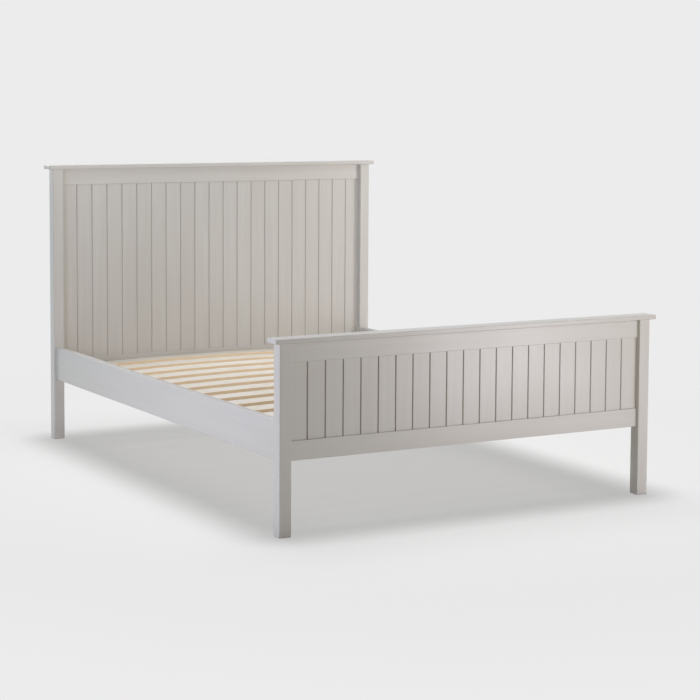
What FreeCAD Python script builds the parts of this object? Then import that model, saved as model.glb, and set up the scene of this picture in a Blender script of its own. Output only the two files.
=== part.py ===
import FreeCAD, Part
import math
import os
import Sketcher

# A double bed frame in painted wood: a panelled headboard and footboard on square posts, two side
# rails that hook on to the posts, and fourteen bowed slats on ledges.
# +X goes across the bed, +Y towards the head and +Z up. The origin is on the floor under the middle.

# Lengths in millimetres
SIZES = (
    # The whole frame
    ("frame_width", 1438, "across the bed, over the posts"),
    ("frame_length", 1987, "along the bed, over the posts"),
    ("head_post_height", 1075, "floor to the headboard's cap"),
    ("foot_post_height", 612, "floor to the footboard's cap"),
    ("rail_level", 239, "floor to the underside of the bottom rails and side rails"),
    # Posts
    ("post_side", 42, "a post's width and depth"),
    ("post_arris_radius", 2.5, "on a post's long edges"),
    ("post_foot_bevel", 2, "round a post's foot"),
    # Panel rails and their tenons
    ("panel_rail_height", 63, "top rails, and the footboard's bottom rail"),
    ("head_bottom_rail_height", 81, "the headboard's bottom rail"),
    ("panel_rail_thickness", 22, ""),
    ("panel_rail_recess", 13, "a post's front face to a panel rail's"),
    ("panel_rail_arris_radius", 1.5, ""),
    ("tenon_length", 15, ""),
    ("tenon_thickness", 10, ""),
    ("tenon_shoulder", 12, "above and below a tenon"),
    ("tenon_clearance", 0.2, ""),
    # Tongued and grooved boards
    ("board_thickness", 9, ""),
    ("board_recess", 5.5, "a panel rail's front face to a board's"),
    ("board_seat", 8, "length of a board's end in a rail's groove"),
    ("board_headroom", 2, "free depth above the boards, in the top rail"),
    ("board_edge_seat", 6, "width of an outer board's edge in a post's groove"),
    ("board_edge_room", 1, "free depth beside the outer boards, in a post"),
    ("board_clearance", 0.2, "board to the side of its groove"),
    ("board_gap", 0.4, "board to board"),
    ("board_bevel", 2.5, "on a board's front edges"),
    ("tongue_length", 5, ""),
    ("tongue_thickness", 3, ""),
    ("tongue_clearance", 0.15, ""),
    # Caps, and what fits in their undersides
    ("cap_thickness", 15, ""),
    ("cap_end_overhang", 19, "past the posts, across the bed"),
    ("cap_side_overhang", 11, "past the posts, along the bed"),
    ("cap_corner_radius", 3, "on a cap's corners in plan"),
    ("cap_arris_radius", 2, "on a cap's top and bottom edges"),
    ("top_tenon_side", 22, "width and depth of the tenon on a post's top"),
    ("top_tenon_height", 8, ""),
    ("top_tongue_thickness", 8, "tongue along a top rail's upper edge"),
    ("top_tongue_height", 5, ""),
    ("cap_clearance", 0.2, "round the tenons and tongue, and above them"),
    # Side rails and ledges
    ("side_rail_height", 129, ""),
    ("side_rail_thickness", 24, ""),
    ("side_rail_inset", 9, "a post's outer face to a side rail's"),
    ("side_rail_arris_radius", 3, ""),
    ("ledge_side", 25, "a ledge's width and depth"),
    ("ledge_level", 280, "floor to the top of the ledges"),
    ("ledge_end_gap", 2, "a ledge's end to the post"),
    ("ledge_bevel", 1.5, ""),
    # Slats and the tapes that space them
    ("slat_width", 78, ""),
    ("slat_thickness", 12, ""),
    ("slat_crown", 14, "rise of a slat's middle above its ends"),
    ("slat_end_gap", 3, "a slat's end to the side rail"),
    ("slat_row_gap", 2, "the first and last slats to the posts"),
    ("slat_bevel", 1, ""),
    ("tape_width", 30, ""),
    ("tape_thickness", 1, ""),
    ("tape_inset", 110, "a slat's end to the middle of the tape"),
    ("tape_end_inset", 12, "a tape's end to the edge of the last slat"),
    ("tape_clearance", 0.1, ""),
    # Hook plates on the side rails and slotted plates on the posts
    ("plate_height", 96, ""),
    ("plate_width", 18, ""),
    ("plate_thickness", 2.5, ""),
    ("plate_clearance", 0.2, ""),
    ("hook_thickness", 3, ""),
    ("hook_neck", 14, "height of a hook where it passes through its slot"),
    ("hook_drop", 6, "reach of a hook's lip below its neck"),
    ("hook_lip", 3, ""),
    ("hook_grip", 0.3, "free play of a hook behind the slotted plate"),
    ("hook_level", 14, "a plate's lower end to the lower hook's neck"),
    ("hook_pitch", 44, "lower hook to upper hook"),
    ("hook_bevel", 2, "lead-in on a hook's nose"),
    ("slot_clearance", 0.4, "hook to the side of its slot"),
    ("slot_lift", 1, "spare height in a slot, and spare depth behind it"),
    ("plate_hole_radius", 2.1, "for the plates' screws"),
    ("plate_hole_level", 46, "a plate's lower end to its lower hole"),
    ("plate_hole_pitch", 42, ""),
    # How far a cut runs past the face that it opens
    ("overrun", 4, ""),
)

BOARD_COUNT = 21
SLAT_COUNT = 14
PLATE_HOLES = 2
HOOKS = 2

LEFT, RIGHT = -1, 1
FOOT, HEAD = -1, 1
SIDE_NAMES = {LEFT: "left", RIGHT: "right"}
END_NAMES = {FOOT: "foot", HEAD: "head"}

# Differences below this don't count, between two places or between two directions
TOLERANCE = 1e-4

X_AXIS = FreeCAD.Vector(1, 0, 0)
Y_AXIS = FreeCAD.Vector(0, 1, 0)
Z_AXIS = FreeCAD.Vector(0, 0, 1)

doc = FreeCAD.newDocument("bed_frame")
nodes = {}


class Size:
    """A length: its value in millimetres, and the sheet formula that gives it."""

    def __init__(self, value, formula):
        self.value = value
        self.formula = formula

    def join(self, sign, other, value):
        return Size(value, "(%s %s %s)" % (self.formula, sign, other.formula))

    def __add__(self, other):
        other = as_size(other)
        return self.join("+", other, self.value + other.value)

    def __sub__(self, other):
        other = as_size(other)
        return self.join("-", other, self.value - other.value)

    def __mul__(self, other):
        other = as_size(other)
        return self.join("*", other, self.value * other.value)

    def __truediv__(self, other):
        other = as_size(other)
        return self.join("/", other, self.value / other.value)

    def __rmul__(self, other):
        return as_size(other) * self

    def __neg__(self):
        return as_size(-1) * self


def as_size(thing):
    if isinstance(thing, Size):
        return thing
    return Size(float(thing), "(%r)" % float(thing))


ZERO = as_size(0)


def fill_sheet():
    """Write every size in the document's sheet, and return the sizes by name."""
    sheet = doc.addObject("Spreadsheet::Sheet", "sizes")
    sizes = {}
    for row, (name, value, meaning) in enumerate(SIZES, start=1):
        sheet.set("A%d" % row, name)
        sheet.set("B%d" % row, "%r" % value)
        sheet.setAlias("B%d" % row, name)
        sheet.set("C%d" % row, meaning)
        sizes[name] = Size(float(value), "sizes.%s" % name)
    doc.recompute()
    return sizes


S = fill_sheet()

# Places that several pieces share, measured from the middle of the bed
half_width = S["frame_width"] / 2
half_length = S["frame_length"] / 2
half_post = S["post_side"] / 2
post_x = half_width - half_post
post_y = half_length - half_post
clear_width = S["frame_width"] - 2 * S["post_side"]
clear_length = S["frame_length"] - 2 * S["post_side"]
side_rail_x = half_width - S["side_rail_inset"] - S["side_rail_thickness"] / 2
side_rail_inner_x = side_rail_x - S["side_rail_thickness"] / 2
plate_x = side_rail_x - post_x
plate_level = S["rail_level"] + (S["side_rail_height"] - S["plate_height"]) / 2

# Places across a panel, measured from the middle of its posts; its front is towards -Y
rail_front_y = S["panel_rail_recess"] - half_post
rail_middle_y = rail_front_y + S["panel_rail_thickness"] / 2
board_front_y = rail_front_y + S["board_recess"]

board_pitch = clear_width / BOARD_COUNT
slat_half_span = side_rail_inner_x - S["slat_end_gap"]
slat_pitch = (clear_length - 2 * S["slat_row_gap"] - S["slat_width"]) / (SLAT_COUNT - 1)
first_slat_y = S["slat_row_gap"] + S["slat_width"] / 2 - clear_length / 2
ledge_x = side_rail_inner_x - S["ledge_side"] / 2
hook_reach = S["plate_thickness"] + S["hook_grip"] + S["hook_lip"]


def bind(thing, prop, size):
    """Tie a property of an object to its sheet formula."""
    thing.setExpression(prop, size.formula)


def place(thing, x, y, z, turn=None):
    """Turn an object, then tie its position to the sheet."""
    rotation = turn or FreeCAD.Rotation()
    thing.Placement = FreeCAD.Placement(FreeCAD.Vector(x.value, y.value, z.value), rotation)
    bind(thing, "Placement.Base.x", x)
    bind(thing, "Placement.Base.y", y)
    bind(thing, "Placement.Base.z", z)


def new_body(name, x=ZERO, y=ZERO, z=ZERO, turn=None):
    body = doc.addObject("PartDesign::Body", name)
    body.Label = name
    place(body, x, y, z, turn)
    return body


def origin_feature(body, role):
    for feature in body.Origin.OriginFeatures:
        if feature.Role == role:
            return feature
    raise ValueError("no origin feature " + role)


def pin_point(sketch, edge, end, x, y):
    """Fix one end of a sketch edge at a place given by two sizes."""
    for kind, size in (("DistanceX", x), ("DistanceY", y)):
        number = sketch.addConstraint(Sketcher.Constraint(kind, edge, end, size.value))
        bind(sketch, "Constraints[%d]" % number, size)


def new_sketch(body, name, role):
    sketch = body.newObject("Sketcher::SketchObject", name)
    sketch.AttachmentSupport = [(origin_feature(body, role), "")]
    sketch.MapMode = "FlatFace"
    return sketch


def draw_outline(body, name, role, corners, lift=ZERO):
    """A closed sketch of straight edges through corners given as pairs of sizes."""
    sketch = new_sketch(body, name, role)
    bind(sketch, "AttachmentOffset.Base.z", lift)
    count = len(corners)
    points = [FreeCAD.Vector(x.value, y.value, 0) for x, y in corners]
    for number in range(count):
        line = Part.LineSegment(points[number], points[(number + 1) % count])
        sketch.addGeometry(line, False)
    for number in range(count):
        joined = Sketcher.Constraint("Coincident", number, 2, (number + 1) % count, 1)
        sketch.addConstraint(joined)
    for number, (x, y) in enumerate(corners):
        pin_point(sketch, number, 1, x, y)
    return sketch


def rectangle(low_x, high_x, low_y, high_y):
    return [(low_x, low_y), (high_x, low_y), (high_x, high_y), (low_x, high_y)]


def pad(body, name, sketch, length, both_ways=False):
    feature = body.newObject("PartDesign::Pad", name)
    feature.Profile = sketch
    bind(feature, "Length", length)
    if both_ways:
        feature.SideType = "Symmetric"
    doc.recompute()
    return feature


def edges_where(feature, wanted):
    """Names of a feature's edges that pass a test."""
    names = []
    for number, edge in enumerate(feature.Shape.Edges, start=1):
        if wanted(edge):
            names.append("Edge%d" % number)
    if not names:
        raise ValueError("no edge found on " + feature.Name)
    return names


def runs_along(edge, axis):
    """True for a straight edge that is parallel to an axis."""
    if not isinstance(edge.Curve, Part.Line):
        return False
    return edge.Curve.Direction.cross(axis).Length < TOLERANCE


def near(value, *sizes):
    return any(abs(value - size.value) < TOLERANCE for size in sizes)


def lies_at(edge, level):
    """True for an edge whose ends are both at a height."""
    return all(near(vertex.Z, level) for vertex in edge.Vertexes)


def dress(body, name, kind, feature, edges, size):
    """Round ("Fillet") or bevel ("Chamfer") some edges of a feature."""
    dressing = body.newObject("PartDesign::" + kind, name)
    dressing.Base = (feature, edges)
    bind(dressing, "Radius" if kind == "Fillet" else "Size", size)
    doc.recompute()
    return dressing


def check_cut(body, feature, before):
    """A cut that misses its piece is a fault in the sizes."""
    doc.recompute()
    if not feature.Shape.Volume < before:
        raise ValueError("%s cuts nothing from %s" % (feature.Name, body.Label))


def cut_box(body, name, x_pair, y_pair, z_pair):
    """Cut a box between pairs of places, given in either order."""
    before = body.Tip.Shape.Volume
    feature = body.newObject("PartDesign::SubtractiveBox", name)
    lows = []
    for prop, pair in (("Length", x_pair), ("Width", y_pair), ("Height", z_pair)):
        low, high = sorted(pair, key=lambda size: size.value)
        bind(feature, prop, high - low)
        lows.append(low)
    place(feature, *lows)
    check_cut(body, feature, before)
    return feature


def pointing(direction):
    """The turn that carries +Z to a direction."""
    return FreeCAD.Rotation(Z_AXIS, direction)


def drill(body, name, start, direction, radius, depth):
    """Drill a round hole from a place, along a direction."""
    before = body.Tip.Shape.Volume
    feature = body.newObject("PartDesign::SubtractiveCylinder", name)
    bind(feature, "Radius", radius)
    bind(feature, "Height", depth)
    place(feature, *start, turn=pointing(direction))
    check_cut(body, feature, before)
    return feature


def repeat_along(body, name, features, role, spacing, count):
    """Repeat cuts in a straight row."""
    pattern = body.newObject("PartDesign::LinearPattern", name)
    pattern.Originals = features
    pattern.Direction = (origin_feature(body, role), [""])
    pattern.Mode = "Spacing"
    bind(pattern, "Offset", spacing)
    pattern.Occurrences = count
    body.Tip = pattern
    doc.recompute()
    return pattern


def link_to(body, name, x, y, z):
    """One more of a piece, at a place of its own."""
    link = doc.addObject("App::Link", name)
    link.LinkedObject = body
    place(link, x, y, z)
    return link


def gather(name, pieces):
    """A node that holds several separate pieces of one kind."""
    group = doc.addObject("Part::Compound", name)
    group.Label = name
    group.Links = pieces
    doc.recompute()
    nodes[name] = group


# Posts


def make_post(name, end, side, height, bottom_rail_height):
    """A square post with a tenon for its cap, mortises and a groove for its panel, and a plate's seat."""
    body = new_body(name, side * post_x, end * post_y, ZERO)
    section = draw_outline(
        body, name + "_section", "XY_Plane",
        rectangle(-half_post, half_post, -half_post, half_post),
    )
    shaft = pad(body, name + "_shaft", section, height)
    long_edges = edges_where(shaft, lambda edge: runs_along(edge, Z_AXIS))
    rounded = dress(body, name + "_arrises", "Fillet", shaft, long_edges, S["post_arris_radius"])
    foot_edges = edges_where(rounded, lambda edge: lies_at(edge, ZERO))
    dress(body, name + "_foot", "Chamfer", rounded, foot_edges, S["post_foot_bevel"])
    half_tenon = S["top_tenon_side"] / 2
    tenon = draw_outline(
        body, name + "_top_tenon_section", "XY_Plane",
        rectangle(-half_tenon, half_tenon, -half_tenon, half_tenon), lift=height,
    )
    pad(body, name + "_top_tenon", tenon, S["top_tenon_height"])
    cut_panel_joints(body, name, side, height, bottom_rail_height)
    cut_plate_seat(body, name, end, side)
    nodes[name] = body


def cut_panel_joints(body, name, side, height, bottom_rail_height):
    """The two mortises and the boards' groove, in the face towards the panel."""
    mouth_x = -side * (half_post + S["overrun"])
    play = S["tenon_clearance"]
    mortise_x = -side * (half_post - S["tenon_length"] - play)
    half_tenon = S["tenon_thickness"] / 2 + play
    mortise_y = (rail_middle_y - half_tenon, rail_middle_y + half_tenon)
    top_rail_level = height - S["panel_rail_height"]
    rails = (
        ("top", top_rail_level, S["panel_rail_height"]),
        ("bottom", S["rail_level"], bottom_rail_height),
    )
    for which, level, rail_height in rails:
        low_z = level + S["tenon_shoulder"] - play
        high_z = level + rail_height - S["tenon_shoulder"] + play
        cut_box(body, "%s_%s_mortise" % (name, which), (mouth_x, mortise_x), mortise_y, (low_z, high_z))
    groove_x = -side * (half_post - S["board_edge_seat"] - S["board_edge_room"])
    groove_low = S["rail_level"] + bottom_rail_height - S["board_seat"]
    groove_high = top_rail_level + S["board_seat"] + S["board_headroom"]
    groove_y = (
        board_front_y - S["board_clearance"],
        board_front_y + S["board_thickness"] + S["board_clearance"],
    )
    cut_box(body, name + "_groove", (mouth_x, groove_x), groove_y, (groove_low, groove_high))


def cut_plate_seat(body, name, end, side):
    """The recess for the slotted plate, and the hooks' pockets behind it."""
    middle_x = side * plate_x
    face_y = -end * half_post
    seat_half = S["plate_width"] / 2 + S["plate_clearance"]
    seat_x = (middle_x - seat_half, middle_x + seat_half)
    seat_y = (face_y - end * S["overrun"], face_y + end * S["plate_thickness"])
    seat_z = (plate_level - S["plate_clearance"], plate_level + S["plate_height"] + S["plate_clearance"])
    cut_box(body, name + "_plate_seat", seat_x, seat_y, seat_z)
    pocket_half = S["hook_thickness"] / 2 + S["slot_clearance"] + S["slot_lift"]
    pocket_x = (middle_x - pocket_half, middle_x + pocket_half)
    pocket_y = (face_y, face_y + end * (hook_reach + S["slot_lift"]))
    for number in range(HOOKS):
        neck_z = hook_neck_level(number)
        low_z = neck_z - S["hook_drop"] - S["slot_lift"]
        high_z = neck_z + S["hook_neck"] + S["hook_drop"] + S["slot_lift"]
        cut_box(body, "%s_hook_pocket_%d" % (name, number + 1), pocket_x, pocket_y, (low_z, high_z))


def hook_neck_level(number):
    return plate_level + S["hook_level"] + number * S["hook_pitch"]


# Panel rails


def make_panel_rail(name, end, level, height, at_top):
    """A tenoned rail, grooved for the boards, and with a tongue for the cap if it is a top rail."""
    body = new_body(name, ZERO, end * post_y + rail_middle_y, level)
    half = S["panel_rail_thickness"] / 2
    groove_front = S["board_recess"] - S["board_clearance"] - half
    groove_back = S["board_recess"] + S["board_thickness"] + S["board_clearance"] - half
    if at_top:
        groove_floor = S["board_seat"] + S["board_headroom"]
        half_tongue = S["top_tongue_thickness"] / 2
        tongue_top = height + S["top_tongue_height"]
        corners = [
            (-half, ZERO), (groove_front, ZERO), (groove_front, groove_floor),
            (groove_back, groove_floor), (groove_back, ZERO), (half, ZERO), (half, height),
            (half_tongue, height), (half_tongue, tongue_top), (-half_tongue, tongue_top),
            (-half_tongue, height), (-half, height),
        ]
    else:
        groove_floor = height - S["board_seat"]
        corners = [
            (-half, ZERO), (half, ZERO), (half, height), (groove_back, height),
            (groove_back, groove_floor), (groove_front, groove_floor),
            (groove_front, height), (-half, height),
        ]
    section = draw_outline(body, name + "_section", "YZ_Plane", corners)
    bar = pad(body, name + "_bar", section, clear_width, both_ways=True)

    def is_outer_arris(edge):
        box = edge.BoundBox
        at_face = near(box.YMin, -half, half)
        exposed = near(box.ZMin, ZERO) if at_top else near(box.ZMin, ZERO, height)
        return runs_along(edge, X_AXIS) and at_face and exposed

    arrises = edges_where(bar, is_outer_arris)
    dress(body, name + "_arrises", "Fillet", bar, arrises, S["panel_rail_arris_radius"])
    half_tenon = S["tenon_thickness"] / 2
    tenon = draw_outline(
        body, name + "_tenon_section", "YZ_Plane",
        rectangle(-half_tenon, half_tenon, S["tenon_shoulder"], height - S["tenon_shoulder"]),
    )
    pad(body, name + "_tenons", tenon, clear_width + 2 * S["tenon_length"], both_ways=True)
    nodes[name] = body


# Tongued and grooved boards


def board_corners(first, last):
    """The section of a board, from its left edge to its right, with its front at zero.

    A bevel on each front edge makes the vee between two boards. The right edge has a tongue and the
    left edge a groove, apart from the outer boards' plain edges, which lie in the posts.
    """
    thickness = S["board_thickness"]
    vee = S["board_bevel"]
    left = S["board_gap"] / 2
    right = board_pitch - S["board_gap"] / 2
    tongue_low = (thickness - S["tongue_thickness"]) / 2
    tongue_high = (thickness + S["tongue_thickness"]) / 2
    if last:
        edge = board_pitch + S["board_edge_seat"]
        right_side = [(edge, ZERO), (edge, thickness)]
    else:
        tip = right + S["tongue_length"]
        right_side = [
            (right - vee, ZERO), (right, vee), (right, tongue_low), (tip, tongue_low),
            (tip, tongue_high), (right, tongue_high), (right, thickness),
        ]
    if first:
        edge = -S["board_edge_seat"]
        left_side = [(edge, thickness), (edge, ZERO)]
    else:
        floor = left + S["tongue_length"]
        low = tongue_low - S["tongue_clearance"]
        high = tongue_high + S["tongue_clearance"]
        left_side = [
            (left, thickness), (left, high), (floor, high), (floor, low), (left, low),
            (left, vee), (left + vee, ZERO),
        ]
    return right_side + left_side


def make_board(name, length, first=False, last=False):
    body = new_body(name)
    section = draw_outline(body, name + "_section", "XY_Plane", board_corners(first, last))
    pad(body, name + "_board", section, length)
    return body


def make_boards(name, end, height, bottom_rail_height):
    """The row of boards between the posts: two outer boards, and alike ones between them."""
    level = S["rail_level"] + bottom_rail_height - S["board_seat"]
    length = height - S["panel_rail_height"] + S["board_seat"] - level
    y = end * post_y + board_front_y
    patterns = {
        0: make_board(name + "_first", length, first=True),
        BOARD_COUNT - 1: make_board(name + "_last", length, last=True),
    }
    middle = make_board(name + "_middle", length)
    boards = []
    for number in range(BOARD_COUNT):
        x = number * board_pitch - clear_width / 2
        board = patterns.get(number, middle)
        boards.append(link_to(board, "%s_%02d" % (name, number + 1), x, y, level))
    gather(name, boards)


# Caps


def make_cap(name, end, height):
    """The flat cap over a panel's posts and top rail, with its corners and edges rounded."""
    body = new_body(name, ZERO, end * post_y, height)
    half_span = half_width + S["cap_end_overhang"]
    half_depth = half_post + S["cap_side_overhang"]
    plan = draw_outline(
        body, name + "_plan", "XY_Plane",
        rectangle(-half_span, half_span, -half_depth, half_depth),
    )
    slab = pad(body, name + "_slab", plan, S["cap_thickness"])
    corners = edges_where(slab, lambda edge: runs_along(edge, Z_AXIS))
    rounded = dress(body, name + "_corners", "Fillet", slab, corners, S["cap_corner_radius"])

    def on_top_or_bottom(edge):
        return lies_at(edge, ZERO) or lies_at(edge, S["cap_thickness"])

    rims = edges_where(rounded, on_top_or_bottom)
    dress(body, name + "_arrises", "Fillet", rounded, rims, S["cap_arris_radius"])
    play = S["cap_clearance"]
    tenon_room = S["top_tenon_side"] / 2 + play
    tenon_depth = (-S["overrun"], S["top_tenon_height"] + play)
    for side in (LEFT, RIGHT):
        middle = side * post_x
        cut_box(
            body, "%s_%s_mortise" % (name, SIDE_NAMES[side]), (middle - tenon_room, middle + tenon_room),
            (-tenon_room, tenon_room), tenon_depth,
        )
    tongue_reach = clear_width / 2 + play
    tongue_room = S["top_tongue_thickness"] / 2 + play
    cut_box(
        body, name + "_groove", (-tongue_reach, tongue_reach),
        (rail_middle_y - tongue_room, rail_middle_y + tongue_room),
        (-S["overrun"], S["top_tongue_height"] + play),
    )
    nodes[name] = body


# Side rails and ledges


def make_side_rail(name, side):
    """A board on edge between the posts, let in at both ends for its hook plates."""
    body = new_body(name, side * side_rail_x, ZERO, S["rail_level"])
    half = S["side_rail_thickness"] / 2
    section = draw_outline(
        body, name + "_section", "XZ_Plane",
        rectangle(-half, half, ZERO, S["side_rail_height"]),
    )
    plank = pad(body, name + "_plank", section, clear_length, both_ways=True)
    arrises = edges_where(plank, lambda edge: runs_along(edge, Y_AXIS))
    dress(body, name + "_arrises", "Fillet", plank, arrises, S["side_rail_arris_radius"])
    seat_half = S["plate_width"] / 2 + S["plate_clearance"]
    seat_low = plate_level - S["rail_level"] - S["plate_clearance"]
    seat_high = plate_level - S["rail_level"] + S["plate_height"] + S["plate_clearance"]
    for end in (FOOT, HEAD):
        face_y = end * clear_length / 2
        end_name = "%s_%s" % (name, END_NAMES[end])
        seat_y = (face_y + end * S["overrun"], face_y - end * S["plate_thickness"])
        cut_box(body, end_name + "_plate_seat", (-seat_half, seat_half), seat_y, (seat_low, seat_high))
    nodes[name] = body


def make_ledge(name, side):
    """A square batten on the inner face of a side rail, which carries the slats' ends."""
    body = new_body(name, side * ledge_x, ZERO, S["ledge_level"] - S["ledge_side"])
    half = S["ledge_side"] / 2
    section = draw_outline(
        body, name + "_section", "XZ_Plane",
        rectangle(-half, half, ZERO, S["ledge_side"]),
    )
    batten = pad(body, name + "_batten", section, clear_length - 2 * S["ledge_end_gap"], both_ways=True)

    def is_inner_arris(edge):
        return runs_along(edge, Y_AXIS) and near(edge.BoundBox.XMin, -side * half)

    inner = edges_where(batten, is_inner_arris)
    dress(body, name + "_arrises", "Chamfer", batten, inner, S["ledge_bevel"])
    nodes[name] = body


# Slats and tapes


def draw_slat_profile(body, name):
    """A slat from the side: two alike arcs, one the slat's thickness above the other."""
    sketch = new_sketch(body, name, "XZ_Plane")
    half = slat_half_span
    crown = S["slat_crown"]
    radius = (half * half + crown * crown) / (2 * crown)
    for level in (ZERO, S["slat_thickness"]):
        right = FreeCAD.Vector(half.value, level.value, 0)
        middle = FreeCAD.Vector(0, (level + crown).value, 0)
        left = FreeCAD.Vector(-half.value, level.value, 0)
        arc = sketch.addGeometry(Part.Arc(right, middle, left), False)
        pin_point(sketch, arc, 1, half, level)
        pin_point(sketch, arc, 2, -half, level)
        number = sketch.addConstraint(Sketcher.Constraint("Radius", arc, radius.value))
        bind(sketch, "Constraints[%d]" % number, radius)
    under, over = 0, 1
    for end_of_arc, x in ((1, half), (2, -half)):
        low = FreeCAD.Vector(x.value, 0, 0)
        high = FreeCAD.Vector(x.value, S["slat_thickness"].value, 0)
        line = sketch.addGeometry(Part.LineSegment(low, high), False)
        sketch.addConstraint(Sketcher.Constraint("Coincident", line, 1, under, end_of_arc))
        sketch.addConstraint(Sketcher.Constraint("Coincident", line, 2, over, end_of_arc))
    return sketch


def make_slat(name, number):
    """A bowed slat, whose ends rest on the ledges."""
    body = new_body(name, ZERO, first_slat_y + number * slat_pitch, S["ledge_level"])
    profile = draw_slat_profile(body, name + "_profile")
    strip = pad(body, name + "_strip", profile, S["slat_width"], both_ways=True)
    long_edges = edges_where(strip, lambda edge: edge.Length > slat_half_span.value)
    dress(body, name + "_arrises", "Chamfer", strip, long_edges, S["slat_bevel"])
    nodes[name] = body


def make_tape(name, side):
    """A flat tape under the slats, tilted to lie along their undersides."""
    x = slat_half_span - S["tape_inset"]
    rise = S["slat_crown"] - S["slat_crown"] * x * x / (slat_half_span * slat_half_span)
    slope = 2 * S["slat_crown"] * x / (slat_half_span * slat_half_span)
    tilt = FreeCAD.Rotation(Y_AXIS, side * math.degrees(math.atan(slope.value)))
    body = new_body(name, side * x, ZERO, S["ledge_level"] + rise - S["tape_clearance"], tilt)
    half = S["tape_width"] / 2
    section = draw_outline(
        body, name + "_section", "XZ_Plane",
        rectangle(-half, half, -S["tape_thickness"], ZERO),
    )
    length = clear_length - 2 * S["slat_row_gap"] - 2 * S["tape_end_inset"]
    pad(body, name + "_strip", section, length, both_ways=True)
    nodes[name] = body


# Hook plates and slotted plates


def drill_plate(body, name, inward):
    """The holes for a plate's screws, from its outer face."""
    start = (ZERO, ZERO, S["plate_hole_level"])
    depth = S["plate_thickness"] + S["overrun"]
    hole = drill(body, name + "_hole", start, inward * Y_AXIS, S["plate_hole_radius"], depth)
    repeat_along(body, name + "_holes", [hole], "Z_Axis", S["plate_hole_pitch"], PLATE_HOLES)


def make_plate(name, end, side, inward):
    """A flat plate with one face where a side rail's end meets its post."""
    body = new_body(name, side * side_rail_x, end * clear_length / 2, plate_level)
    half = S["plate_width"] / 2
    back_y = inward * S["plate_thickness"]
    low_y, high_y = sorted((ZERO, back_y), key=lambda size: size.value)
    plan = draw_outline(body, name + "_plan", "XY_Plane", rectangle(-half, half, low_y, high_y))
    pad(body, name + "_plate", plan, S["plate_height"])
    return body


def make_hook_plate(name, end, side):
    """The plate let into a side rail's end, with its hooks reaching into the post."""
    inward = -end
    body = make_plate(name, end, side, inward)
    neck_end = end * (S["plate_thickness"] + S["hook_grip"])
    nose = end * hook_reach
    nose_bevel = end * (hook_reach - S["hook_bevel"])
    low = S["hook_level"]
    top = low + S["hook_neck"]
    lip = low - S["hook_drop"]
    root = inward * S["plate_thickness"]
    corners = [
        (root, low), (neck_end, low), (neck_end, lip), (nose, lip),
        (nose, top - S["hook_bevel"]), (nose_bevel, top), (root, top),
    ]
    profile = draw_outline(body, name + "_hook_profile", "YZ_Plane", corners)
    hook = pad(body, name + "_hook", profile, S["hook_thickness"], both_ways=True)
    repeat_along(body, name + "_hooks", [hook], "Z_Axis", S["hook_pitch"], HOOKS)
    drill_plate(body, name, inward)
    nodes[name] = body


def make_slot_plate(name, end, side):
    """The plate let into a post's face, with a slot for each hook."""
    inward = end
    body = make_plate(name, end, side, inward)
    half_slot = S["hook_thickness"] / 2 + S["slot_clearance"]
    across = (-inward * S["overrun"], inward * (S["plate_thickness"] + S["overrun"]))
    high = S["hook_level"] + S["hook_neck"] + S["hook_drop"] + S["slot_lift"]
    slot = cut_box(body, name + "_slot", (-half_slot, half_slot), across, (S["hook_level"], high))
    repeat_along(body, name + "_slots", [slot], "Z_Axis", S["hook_pitch"], HOOKS)
    drill_plate(body, name, inward)
    nodes[name] = body


# The whole frame


def build_panel(panel, end, height, bottom_rail_height):
    """A headboard or footboard: posts, rails, boards and cap."""
    for side in (LEFT, RIGHT):
        post_name = "%s_post_%s" % (panel, SIDE_NAMES[side])
        make_post(post_name, end, side, height, bottom_rail_height)
    top_level = height - S["panel_rail_height"]
    make_panel_rail(panel + "_top_rail", end, top_level, S["panel_rail_height"], at_top=True)
    make_panel_rail(panel + "_bottom_rail", end, S["rail_level"], bottom_rail_height, at_top=False)
    make_boards(panel + "_boards", end, height, bottom_rail_height)
    make_cap(panel + "_cap", end, height)


def build_sides():
    for side in (LEFT, RIGHT):
        side_name = SIDE_NAMES[side]
        make_side_rail("side_rail_" + side_name, side)
        make_ledge("slat_ledge_" + side_name, side)
        for end in (FOOT, HEAD):
            corner = "%s_%s" % (END_NAMES[end], side_name)
            make_hook_plate("hook_plate_" + corner, end, side)
            make_slot_plate("slot_plate_" + corner, end, side)


def build_slats():
    for number in range(SLAT_COUNT):
        make_slat("slat_%02d" % (number + 1), number)
    for side in (LEFT, RIGHT):
        make_tape("slat_tape_" + SIDE_NAMES[side], side)


def check_and_write():
    """Stop if any object failed, then write one file for each node."""
    doc.recompute()
    for thing in doc.Objects:
        if "Invalid" in thing.State or "Error" in thing.State:
            raise ValueError("%s did not recompute: %s" % (thing.Label, thing.State))
    os.makedirs("parts", exist_ok=True)
    for name, thing in nodes.items():
        shape = Part.getShape(thing)
        if shape.isNull() or not shape.isValid() or not shape.Solids:
            raise ValueError(name + " has no valid solid")
        shape.exportStep("parts/%s.step" % name)
        print("%-28s %2d solids, %10.1f mm3" % (name, len(shape.Solids), shape.Volume))


build_panel("headboard", HEAD, S["head_post_height"], S["head_bottom_rail_height"])
build_panel("footboard", FOOT, S["foot_post_height"], S["panel_rail_height"])
build_sides()
build_slats()
check_and_write()
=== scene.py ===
"""A grey painted bed frame with boarded ends and a bowed slat base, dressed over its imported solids.

The solids of the frame, the slats and the ironwork stay and get their finishes here. The two tapes
under the slats, their staples and the small screws are made here as meshes. Sizes are in metres.
"""

import math

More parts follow.
